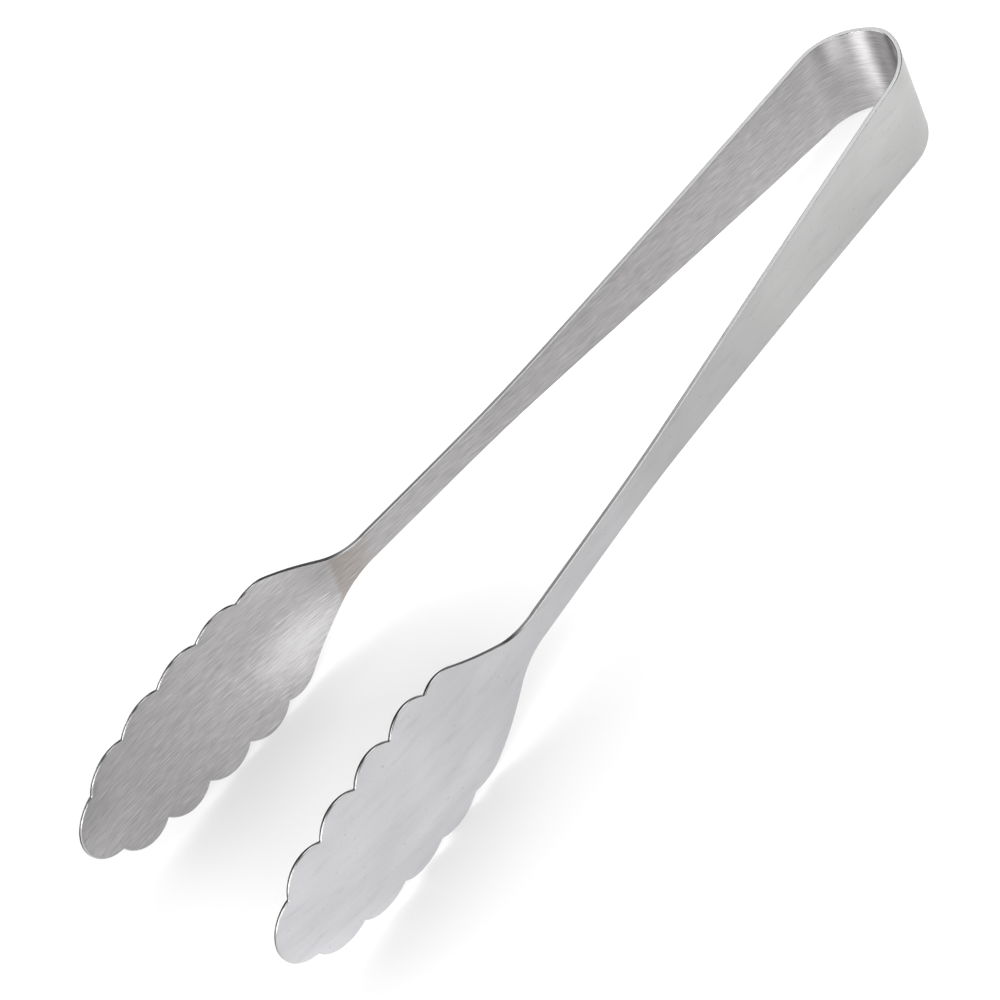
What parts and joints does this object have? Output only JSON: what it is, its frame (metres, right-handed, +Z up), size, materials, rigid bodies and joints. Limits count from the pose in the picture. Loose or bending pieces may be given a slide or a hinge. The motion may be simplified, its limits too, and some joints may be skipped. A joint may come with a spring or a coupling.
{
  "type": "spring tongs",
  "caption": "One-piece sprung serving tongs: a formed steel strip with a U-shaped bow, tapering arms and dished, scalloped leaf-shaped blades.",
  "frame": {"origin": "on the resting surface, under the middle of the bounding box, with the tongs lying on their edges as at rest on a table", "axes": "+X along the length towards the bow; +Y across, towards the left arm; +Z up, along the strip's width. The strip's middle plane tips 2.2 degrees down towards the bow, because the blades are wider than the bow"},
  "size_m": [0.2606, 0.0638, 0.0403],
  "materials": {
    "bow_steel": "lengthwise brushed inside, satin outside",
    "handle_steel": "lengthwise brushed inside, satin outside",
    "blade_steel": "obliquely brushed inside, fine satin outside"
  },
  "bodies": {
    "bow": {"bow_crown": "bow_steel"},
    "left_shoulder": {"left_bow_shoulder": "bow_steel"},
    "left_upper_arm": {"left_upper_handle": "handle_steel"},
    "left_lower_arm": {"left_lower_handle": "handle_steel", "left_blade": "blade_steel"},
    "right_shoulder": {"right_bow_shoulder": "bow_steel"},
    "right_upper_arm": {"right_upper_handle": "handle_steel"},
    "right_lower_arm": {"right_lower_handle": "handle_steel", "right_blade": "blade_steel"}
  },
  "joints": [
    {"name": "left_squeeze", "type": "hinge", "parent": "bow", "child": "left_shoulder", "pos_m": [0.12513, 0.00813, 0.01247], "axis": [0.0378, 0, 0.9993], "range_deg": [-0.7, 1.9], "stiffness_Nm_per_rad": 30},
    {"name": "left_arm_flex", "type": "hinge", "parent": "left_shoulder", "child": "left_upper_arm", "pos_m": [0.09301, 0.01429, 0.01368], "axis": [0.0378, 0, 0.9993], "range_deg": [-1.2, 3.1], "stiffness_Nm_per_rad": 14},
    {"name": "left_handle_flex", "type": "hinge", "parent": "left_upper_arm", "child": "left_lower_arm", "pos_m": [0.04719, 0.01791, 0.01541], "axis": [0.0378, 0, 0.9993], "range_deg": [-1, 2.7], "stiffness_Nm_per_rad": 7.8},
    {"name": "right_squeeze", "type": "hinge", "parent": "bow", "child": "right_shoulder", "pos_m": [0.12513, -0.00813, 0.01247], "axis": [-0.0378, 0, -0.9993], "range_deg": [-0.7, 1.9], "stiffness_Nm_per_rad": 30},
    {"name": "right_arm_flex", "type": "hinge", "parent": "right_shoulder", "child": "right_upper_arm", "pos_m": [0.09301, -0.01429, 0.01368], "axis": [-0.0378, 0, -0.9993], "range_deg": [-1.2, 3.1], "stiffness_Nm_per_rad": 14},
    {"name": "right_handle_flex", "type": "hinge", "parent": "right_upper_arm", "child": "right_lower_arm", "pos_m": [0.04719, -0.01791, 0.01541], "axis": [-0.0378, 0, -0.9993], "range_deg": [-1, 2.7], "stiffness_Nm_per_rad": 7.8}
  ],
  "couplings": [
    {"joint": "left_arm_flex", "follows": "left_squeeze", "ratio": 1.6},
    {"joint": "left_handle_flex", "follows": "left_squeeze", "ratio": 1.4},
    {"joint": "right_arm_flex", "follows": "right_squeeze", "ratio": 1.6},
    {"joint": "right_handle_flex", "follows": "right_squeeze", "ratio": 1.4}
  ]
}
